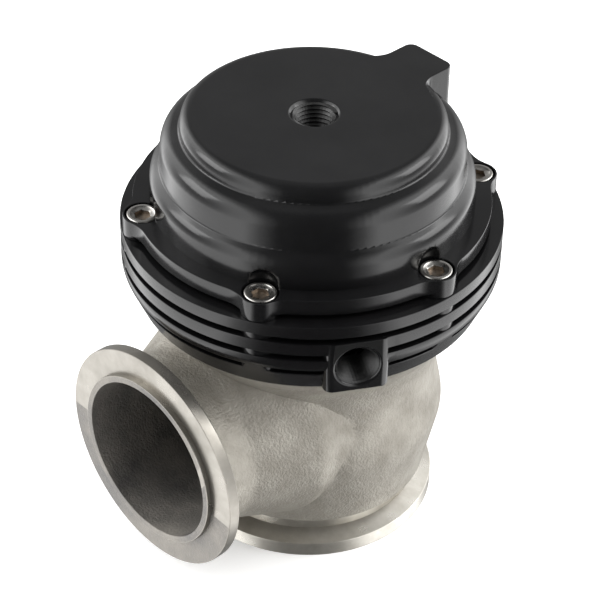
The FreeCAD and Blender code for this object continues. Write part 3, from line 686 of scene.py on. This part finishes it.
@dataclass(frozen=True)
class ScrewSizes:
    """Low-head socket screw, with a dish that narrows to a mouth and a hexagon that ends in a cone.

    The dish and the mouth are radii, and every depth is measured down from the head's top. The shoulder is
    the head's rounded edge, as shares of its rounding in from the side and down from the top. The tip's
    share is of the shank's radius, and the cone's is of the hexagon's flats.
    """

    count: int = 6
    shank_radius: float = 2.5 * MM
    tip_share: float = 0.2
    head_radius: float = 4.25 * MM
    head_height: float = 3.5 * MM
    head_chamfer: float = 0.1 * MM
    rounding: float = 0.45 * MM
    shoulder: tuple = ((0.0, 1.0), (0.08, 0.62), (0.3, 0.3), (0.62, 0.08), (1.0, 0.0))
    dish: float = 3.35 * MM
    dish_slope: float = 0.35 * MM
    dish_depth: float = 0.3 * MM
    mouth: float = 2.45 * MM
    mouth_depth: float = 0.42 * MM
    hex_flats: float = 4.0 * MM
    hex_top: float = 0.6 * MM
    hex_depth: float = 1.7 * MM
    cone_height: float = 0.35 * MM
    cone_share: float = 0.15
    steps: int = 48
    sharp: float = math.radians(32)


class Screws:
    """The cap's screws: one lofted screw, set round the cap by a node tree."""

    TWIST = 0.6

    def __init__(self, finishes: Finishes, sizes: ScrewSizes = ScrewSizes()) -> None:
        """Keep what the methods work with.

        Args:
            finishes: the part's finishes.
            sizes: the screw's sizes.
        """
        self.finishes = finishes
        self.sizes = sizes

    def _ring(self, radius: float, height: float) -> list[Vector]:
        """Round loop.

        Args:
            radius: its radius.
            height: its Z.

        Returns:
            Its points.
        """
        turn = math.tau / self.sizes.steps
        return [Vector((radius * math.cos(turn * i), radius * math.sin(turn * i), height))
                for i in range(self.sizes.steps)]

    def _hexagon(self, flats: float, height: float) -> list[Vector]:
        """Hexagonal loop with a corner on +X.

        Args:
            flats: width across flats.
            height: its Z.

        Returns:
            Its points.
        """
        points = []
        for i in range(self.sizes.steps):
            angle = math.tau * i / self.sizes.steps
            radius = flats / 2 / math.cos(angle % math.radians(60) - math.radians(30))
            points.append(Vector((radius * math.cos(angle), radius * math.sin(angle), height)))
        return points

    def _screw(self, foot: float, top: float) -> bpy.types.Mesh:
        """One screw on the Z axis.

        Args:
            foot: Z of its lower end.
            top: Z of its head's top.

        Returns:
            The mesh, its recess faces marked.
        """
        s = self.sizes
        base = top - s.head_height
        outside = [
            self._ring(s.shank_radius * (1 - s.tip_share), foot),
            self._ring(s.shank_radius, foot + s.tip_share * s.shank_radius),
            self._ring(s.shank_radius, base),
            self._ring(s.head_radius - s.head_chamfer, base),
            self._ring(s.head_radius, base + s.head_chamfer),
            *(self._ring(s.head_radius - inwards * s.rounding, top - down * s.rounding)
              for inwards, down in s.shoulder),
            self._ring(s.dish, top),
            self._ring(s.dish - s.dish_slope, top - s.dish_depth),
            self._ring(s.mouth, top - s.mouth_depth),
        ]
        socket = [
            self._hexagon(s.hex_flats, top - s.hex_top),
            self._hexagon(s.hex_flats, top - s.hex_depth),
            self._hexagon(s.hex_flats * s.cone_share, top - s.hex_depth - s.cone_height),
        ]
        return lofted("cap_screw", outside + socket, recess_from=len(outside), sharp=s.sharp)

    def _tree(self) -> bpy.types.NodeTree:
        """Node tree that sets copies of a mesh on a circle, each turned a little differently.

        Returns:
            The tree, with its sizes and finishes as inputs.
        """
        graph, given, made = group(
            "screw_circle", "GeometryNodeTree",
            {"Geometry": ("NodeSocketGeometry", None), "Count": ("NodeSocketInt", 6),
             "Radius": ("NodeSocketFloat", 0.04), "Steel": ("NodeSocketMaterial", None),
             "Recess": ("NodeSocketMaterial", None)},
            {"Geometry": "NodeSocketGeometry"})
        circle = graph.add("GeometryNodeMeshCircle", {"Vertices": given.outputs["Count"],
                                                      "Radius": given.outputs["Radius"]})
        limits = {"Min": (0.0, 0.0, -self.TWIST), "Max": (0.0, 0.0, self.TWIST), "Seed": 5}
        turn = graph.add("FunctionNodeRandomValue", limits, data_type="FLOAT_VECTOR")
        copies = graph.add("GeometryNodeInstanceOnPoints", {
            "Points": circle.outputs[0], "Instance": given.outputs["Geometry"], "Rotation": turn.outputs[0]})
        solid = graph.add("GeometryNodeRealizeInstances", {0: copies.outputs[0]})
        steel = graph.add("GeometryNodeSetMaterial", {"Geometry": solid.outputs[0],
                                                      "Material": given.outputs["Steel"]})
        marked = graph.add("GeometryNodeInputNamedAttribute", {"Name": "recess"}, data_type="INT")
        inside = graph.math("GREATER_THAN", marked.outputs[0], 0.5)
        recess = graph.add("GeometryNodeSetMaterial", {
            "Geometry": steel.outputs[0], "Selection": inside, "Material": given.outputs["Recess"]})
        graph.tree.links.new(recess.outputs[0], made.inputs[0])
        return graph.tree

    def build(self) -> None:
        """Make the screws in place of their CAD node."""
        low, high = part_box("cap_screws")
        mesh = self._screw(low[2], high[2])
        values = {"Count": self.sizes.count, "Radius": high[0] - self.sizes.head_radius,
                  "Steel": self.finishes.screw, "Recess": self.finishes.recess}
        placed = grown("cap_screw_set", mesh, self._tree(), values)
        adopt("cap_screw_set", placed, Slot.SCREW, Body.CASE, "cap_screws")


def grown(name: str, mesh: bpy.types.Mesh, tree: bpy.types.NodeTree, values: dict) -> bpy.types.Mesh:
    """Run a mesh through a node tree.

    Args:
        name: the result's name.
        mesh: the mesh handed to the tree.
        tree: the geometry tree.
        values: input name to value.

    Returns:
        The evaluated mesh.
    """
    host = hosted(mesh, name)
    modifier = host.modifiers.new("grow", "NODES")
    modifier.node_group = tree
    for item in tree.interface.items_tree:
        if item.in_out == "INPUT" and item.name in values:
            modifier[item.identifier] = values[item.name]
    host.update_tag()
    return bake(host, name)


@dataclass(frozen=True)
class SpringSizes:
    """One spring: wire diameter, turns, and the share of the wire that is ground off at each end."""

    wire: float
    turns: float
    ground: float = 0.2
    sides: int = 16
    steps: int = 48


@dataclass(frozen=True)
class ThreadSizes:
    """Thread ridge of a port: it stands in by its depth, and leaves a plain margin at each end."""

    pitch: float = 1.3 * MM
    depth: float = 0.6 * MM
    margin: float = 0.3 * MM
    sides: int = 4
    steps: int = 40


class Coils:
    """Springs and thread ridges, all made by one node tree."""

    SPRINGS = {"outer_spring": SpringSizes(wire=3.4 * MM, turns=5.0),
               "inner_spring": SpringSizes(wire=2.4 * MM, turns=6.0)}
    KEPT_AT_LIFT = 0.681

    def __init__(self, finishes: Finishes) -> None:
        """Keep what the methods work with.

        Args:
            finishes: the part's finishes.
        """
        self.finishes = finishes
        self.tree = self._tree()

    @staticmethod
    def _tree() -> bpy.types.NodeTree:
        """Node tree of a wire wound round Z, pressed flat at two heights.

        Returns:
            The tree, with its sizes and finish as inputs.
        """
        number, whole = "NodeSocketFloat", "NodeSocketInt"
        graph, given, made = group(
            "coil", "GeometryNodeTree",
            {"Geometry": ("NodeSocketGeometry", None), "Radius": (number, 0.01), "Foot": (number, 0.0),
             "Height": (number, 0.02), "Turns": (number, 5.0), "Wire": (number, 0.001), "Sides": (whole, 12),
             "Steps": (whole, 32), "Low": (number, 0.0), "High": (number, 1.0),
             "Smooth": ("NodeSocketBool", True), "Material": ("NodeSocketMaterial", None)},
            {"Geometry": "NodeSocketGeometry"})
        path = graph.add("GeometryNodeCurveSpiral", {
            "Resolution": given.outputs["Steps"], "Rotations": given.outputs["Turns"],
            "Start Radius": given.outputs["Radius"], "End Radius": given.outputs["Radius"],
            "Height": given.outputs["Height"]})
        standing = graph.add("GeometryNodeSetCurveNormal", {0: path.outputs[0]}, mode="Z_UP")
        rise = graph.add("ShaderNodeCombineXYZ", {"Z": given.outputs["Foot"]})
        lifted = graph.add("GeometryNodeTransform", {
            0: standing.outputs[0], "Translation": rise.outputs[0]})
        section = graph.add("GeometryNodeCurvePrimitiveCircle", {
            "Resolution": given.outputs["Sides"], "Radius": given.outputs["Wire"]})
        wire = graph.add("GeometryNodeCurveToMesh", {
            "Curve": lifted.outputs[0], "Profile Curve": section.outputs[0], "Fill Caps": True})
        where = graph.add("ShaderNodeSeparateXYZ", {0: graph.add("GeometryNodeInputPosition").outputs[0]})
        level = graph.math("MAXIMUM", graph.math("MINIMUM", where.outputs[2], given.outputs["High"]),
                           given.outputs["Low"])
        ground = graph.add("ShaderNodeCombineXYZ", {0: where.outputs[0], 1: where.outputs[1], 2: level})
        flat = graph.add("GeometryNodeSetPosition", {
            "Geometry": wire.outputs[0], "Position": ground.outputs[0]})
        smooth = graph.add("GeometryNodeSetShadeSmooth", {
            "Geometry": flat.outputs[0], "Shade Smooth": given.outputs["Smooth"]})
        solid = graph.add("GeometryNodeRealizeInstances", {0: smooth.outputs[0]})
        done = graph.add("GeometryNodeSetMaterial", {"Geometry": solid.outputs[0],
                                                     "Material": given.outputs["Material"]})
        graph.tree.links.new(done.outputs[0], made.inputs[0])
        return graph.tree

    def _coil(self, name: str, **values: float | bpy.types.Material) -> bpy.types.Mesh:
        """One wound wire.

        Args:
            name: the mesh's name.
            values: inputs of the tree, by name with a capital.

        Returns:
            The mesh.
        """
        return grown(name, bpy.data.meshes.new(f"{name}_empty"), self.tree, values)

    def spring(self, node: str, sizes: SpringSizes, keep: float) -> None:
        """Spring in place of its CAD node, ground flat at both ends.

        Args:
            node: the CAD node.
            sizes: the spring's sizes.
            keep: share of its height that is left at full lift; not used.
        """
        low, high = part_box(node)
        flat = sizes.ground * sizes.wire
        mesh = self._coil(f"{node}_wire", Radius=high[0] - sizes.wire / 2, Foot=low[2] + flat,
                          Height=high[2] - low[2] - 2 * flat, Turns=sizes.turns, Wire=sizes.wire / 2,
                          Sides=sizes.sides, Steps=sizes.steps, Low=low[2], High=high[2], Smooth=True,
                          Material=self.finishes.spring)
        piece = adopt(f"{node}_wire", mesh, Slot.SPRING, Body.CASE, node)
        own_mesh(piece)

    def thread(self, mount: dict, sizes: ThreadSizes) -> None:
        """Thread ridge in a port's bore.

        Args:
            mount: the record's mount of that port.
            sizes: the ridge's sizes.
        """
        length = mount["dims"]["length_mm"] * MM - 2 * sizes.margin
        name = f"{mount['name']}_thread"
        mesh = self._coil(name, Radius=mount["dims"]["r_mm"] * MM, Foot=-length / 2, Height=length,
                          Turns=length / sizes.pitch, Wire=sizes.depth, Sides=sizes.sides, Steps=sizes.steps,
                          Low=-length / 2, High=length / 2, Smooth=False, Material=self.finishes.thread)
        lean = UP.rotation_difference(Vector(mount["axis"])).to_matrix().to_4x4()
        mesh.transform(Matrix.Translation(mount["pos_m"]) @ lean)
        adopt(name, mesh, Slot.BLACK, Body.CASE)

    def build(self, mounts: list[dict]) -> None:
        """Make the springs and the ports' threads.

        Args:
            mounts: the record's mounts.
        """
        for node, sizes in self.SPRINGS.items():
            self.spring(node, sizes, self.KEPT_AT_LIFT)
        for mount in tapped_ports(mounts):
            self.thread(mount, ThreadSizes())


@dataclass(frozen=True)
class DiaphragmSizes:
    """Rubber sheet with a flat floor, a sloping wall from foot to lip, and a rim with a bead below it.

    Its height and its outer radius come from the frame. Bore, held, foot, lip, shoulder and the bead's two
    edges are radii.
    """

    thickness: float = 1.2 * MM
    bore: float = 3.3 * MM
    held: float = 18 * MM
    foot: float = 33.0 * MM
    lip: float = 36.6 * MM
    wall_offset: float = 0.5 * MM
    shoulder: float = 38 * MM
    bead_inner: float = 38.85 * MM
    bead_outer: float = 40.35 * MM
    bead_depth: float = 1.25 * MM
    wall_steps: int = 7
    steps: int = 96
    sharp: float = math.radians(40)


class Diaphragm:
    """Dished rubber diaphragm between the piston and the clamped rim."""

    def __init__(self, finishes: Finishes, sizes: DiaphragmSizes = DiaphragmSizes()) -> None:
        """Keep what the methods work with.

        Args:
            finishes: the part's finishes.
            sizes: the diaphragm's sizes.
        """
        self.finishes = finishes
        self.sizes = sizes

    def _section(self) -> list[tuple[float, float]]:
        """Closed half section (radius, height) in metres.

        Returns:
            Its points, all round.
        """
        s = self.sizes
        low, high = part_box("diaphragm")
        floor, top, rim_radius = low[2], high[2], high[0]
        rim = top - s.thickness
        under, over = [], []
        for i in range(s.wall_steps + 1):
            part = i / s.wall_steps
            eased = part * part * (3 - 2 * part)
            radius, height = s.foot + (s.lip - s.foot) * part, floor + (rim - floor) * eased
            under.append((radius, height))
            over.append((radius - s.wall_offset, height + s.thickness))
        bead = [(s.bead_inner, rim), (s.bead_inner, rim - s.bead_depth),
                (s.bead_outer, rim - s.bead_depth), (s.bead_outer, rim)]
        below = [(s.bore, floor), (s.held, floor), *under, *bead, (rim_radius, rim)]
        above = [(rim_radius, top), (s.shoulder, top), *reversed(over)]
        return below + above + [(s.held, floor + s.thickness), (s.bore, floor + s.thickness)]

    def build(self) -> None:
        """Turn the section round Z."""
        s = self.sizes
        shape = bmesh.new()
        section = self._section()
        rings = []
        for i in range(s.steps):
            angle = math.tau * i / s.steps
            rings.append([shape.verts.new((radius * math.cos(angle), radius * math.sin(angle), height))
                          for radius, height in section])
        for i, ring in enumerate(rings):
            ahead = rings[(i + 1) % s.steps]
            for j in range(len(section)):
                k = (j + 1) % len(section)
                shape.faces.new((ring[j], ahead[j], ahead[k], ring[k]))
        bmesh.ops.recalc_face_normals(shape, faces=shape.faces)
        mesh = bpy.data.meshes.new("rolling_diaphragm")
        shape.to_mesh(mesh)
        shape.free()
        mesh.shade_smooth()
        mesh.set_sharp_from_angle(angle=s.sharp)
        mesh.materials.append(self.finishes.diaphragm)
        piece = bpy.data.objects.new("rolling_diaphragm", mesh)
        bpy.context.scene.collection.objects.link(piece)
        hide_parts("diaphragm")
        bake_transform(piece)
        log.info("rolling_diaphragm: %d faces", len(mesh.polygons))


@dataclass(frozen=True)
class Shot:
    """The camera: where it stands round the part, and how it is aimed.

    The bearing is counted from -Y towards +X, and lens and sensor are in Blender's millimetres.
    """

    bearing: float = math.radians(46.082)
    elevation: float = math.radians(37.501)
    roll: float = math.radians(1.153)
    lens: float = 134.37
    sensor: float = 36.0
    nearest: float = 10 * MM
    distance: float = 595.39 * MM
    right: float = 3.299 * MM
    up: float = 28.642 * MM
    pivot: float = 98.4 * MM

    def place(self) -> None:
        """Create the camera and make it the scene's."""
        a, e = self.bearing, self.elevation
        back = Vector((math.sin(a) * math.cos(e), -math.cos(a) * math.cos(e), math.sin(e)))
        level = Vector((math.cos(a), math.sin(a), 0))
        steep = back.cross(level)
        right = math.cos(self.roll) * level + math.sin(self.roll) * steep
        up = math.cos(self.roll) * steep - math.sin(self.roll) * level
        spot = back * self.distance - right * self.right - up * self.up + UP * self.pivot
        data = bpy.data.cameras.new("camera")
        data.lens = self.lens
        data.sensor_width = self.sensor
        data.clip_start = self.nearest
        camera = bpy.data.objects.new("camera", data)
        bpy.context.scene.collection.objects.link(camera)
        turned = Matrix((right, up, back)).transposed().to_4x4()
        camera.matrix_world = Matrix.Translation(spot) @ turned
        bpy.context.scene.camera = camera


@dataclass(frozen=True)
class Softbox:
    """A soft rectangular light aimed at a height on the part's axis, in metres and watts."""

    name: str
    bearing: float
    height: float
    distance: float
    size: tuple[float, float]
    power: float
    mirrored: bool = True
    aim: float = 60 * MM

    def place(self) -> None:
        """Create the light."""
        data = bpy.data.lights.new(self.name, "AREA")
        data.shape = "RECTANGLE"
        data.size, data.size_y = self.size
        data.energy = self.power
        light = bpy.data.objects.new(self.name, data)
        spot = Vector((math.sin(self.bearing) * self.distance, -math.cos(self.bearing) * self.distance,
                       self.height))
        turned = (Vector((0, 0, self.aim)) - spot).to_track_quat("-Z", "Y")
        light.matrix_world = Matrix.Translation(spot) @ turned.to_matrix().to_4x4()
        light.visible_camera = False
        light.visible_glossy = self.mirrored
        bpy.context.scene.collection.objects.link(light)


@dataclass(frozen=True)
class Floor:
    """Round pale floor just under the part, clear when it is looked at from below."""

    radius: float = 6.0
    steps: int = 96
    grey: float = 0.95
    roughness: float = 0.9
    specular: float = 0.1
    glow: float = 0.25
    drop: float = 0.05 * MM

    def material(self) -> bpy.types.Material:
        """Matt white that shines faintly, and lets everything through from behind.

        Returns:
            The material.
        """
        made = bpy.data.materials.new("floor_white")
        made.use_nodes = True
        shader = made.node_tree.nodes["Principled BSDF"]
        settings = {"Base Color": (self.grey, self.grey, self.grey, 1), "Roughness": self.roughness,
                    "Specular IOR Level": self.specular, "Emission Color": (1, 1, 1, 1),
                    "Emission Strength": self.glow}
        for socket, value in settings.items():
            shader.inputs[socket].default_value = value
        graph = Graph(made.node_tree)
        below = graph.add("ShaderNodeNewGeometry").outputs["Backfacing"]
        clear = graph.add("ShaderNodeBsdfTransparent").outputs[0]
        surface = graph.add("ShaderNodeMixShader", {0: below, 1: shader.outputs[0], 2: clear})
        made.node_tree.links.new(surface.outputs[0], made.node_tree.nodes["Material Output"].inputs[0])
        return made

    def place(self) -> None:
        shape = bmesh.new()
        bmesh.ops.create_circle(shape, cap_ends=True, segments=self.steps, radius=self.radius)
        mesh = bpy.data.meshes.new("floor")
        shape.to_mesh(mesh)
        shape.free()
        mesh.materials.append(self.material())
        mesh.transform(Matrix.Translation((0, 0, -self.drop)))
        floor = bpy.data.objects.new("floor", mesh)
        bpy.context.scene.collection.objects.link(floor)
        floor.visible_glossy = False


class Studio:
    """Pale floor, softboxes, and a sky that polished faces mirror.

    The sky's grey follows two directions: away from where the part is seen, and aside of it. Behind and
    beside give its level along each, as (share, level) stops.
    """

    BOXES = (
        Softbox("overhead", 0.0, 1.6, 0.05, (1.8, 1.8), 22.0, mirrored=False),
        Softbox("left_box", math.radians(-46), 0.5, 0.9, (0.5, 0.5), 3.0),
        Softbox("right_box", math.radians(138), 0.5, 0.9, (0.5, 0.5), 3.0),
    )
    AWAY = Vector((-0.7205, 0.6935, 0.0))
    ASIDE = Vector((0.6935, 0.7205, 0.0))
    STRENGTH = 2.6
    BEHIND = ((0.0, 0.012), (0.35, 0.018), (0.62, 0.09), (0.80, 0.105), (1.0, 0.15))
    BESIDE = ((0.0, 0.0), (0.38, 0.012), (0.54, 0.35), (0.66, 1.0), (0.84, 0.80), (1.0, 0.20))

    @staticmethod
    def _ramp(graph: Graph, share: bpy.types.NodeSocket, levels: tuple) -> bpy.types.NodeSocket:
        """Grey level that follows a share from 0 to 1.

        Args:
            graph: the world's tree.
            share: socket with the share.
            levels: (share, level) stops.

        Returns:
            The ramp's colour.
        """
        ramp = graph.add("ShaderNodeValToRGB", {0: share})
        stops = ramp.color_ramp.elements
        stops[0].position, stops[1].position = levels[0][0], levels[-1][0]
        for position, _ in levels[1:-1]:
            stops.new(position)
        for stop, (_, level) in zip(stops, levels):
            stop.color = (level, level, level, 1)
        return ramp.outputs[0]

    def _sky(self) -> None:
        """Sky that is bright to both sides, softer behind the part and dark where it is seen from."""
        world = bpy.data.worlds.new("studio")
        bpy.context.scene.world = world
        world.use_nodes = True
        graph = Graph(world.node_tree)
        where = graph.add("ShaderNodeTexCoord").outputs["Generated"]
        behind = graph.vector("DOT_PRODUCT", where, self.AWAY).outputs["Value"]
        beside = graph.vector("DOT_PRODUCT", where, self.ASIDE).outputs["Value"]
        share = graph.add("ShaderNodeMapRange", {"Value": behind, "From Min": -1.0, "From Max": 1.0})
        total = graph.vector("ADD", self._ramp(graph, share.outputs[0], self.BEHIND),
                             self._ramp(graph, graph.math("ABSOLUTE", beside), self.BESIDE))
        background = world.node_tree.nodes["Background"]
        background.inputs["Strength"].default_value = self.STRENGTH
        world.node_tree.links.new(total.outputs[0], background.inputs["Color"])

    def build(self) -> None:
        """Set up the stage and the view transform."""
        Floor().place()
        self._sky()
        for box in self.BOXES:
            box.place()
        bpy.context.scene.view_settings.view_transform = "Standard"


def main() -> None:
    """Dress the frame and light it."""
    logging.basicConfig(level=logging.INFO, format="%(name)s: %(message)s")
    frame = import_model()
    finishes = Finishes()
    Shells(frame["nodes"], finishes, frame["record"]["mounts"]).build()
    Screws(finishes).build()
    Coils(finishes).build(frame["record"]["mounts"])
    Diaphragm(finishes).build()
    Studio().build()
    Shot().place()


if __name__ == "__main__":
    main()
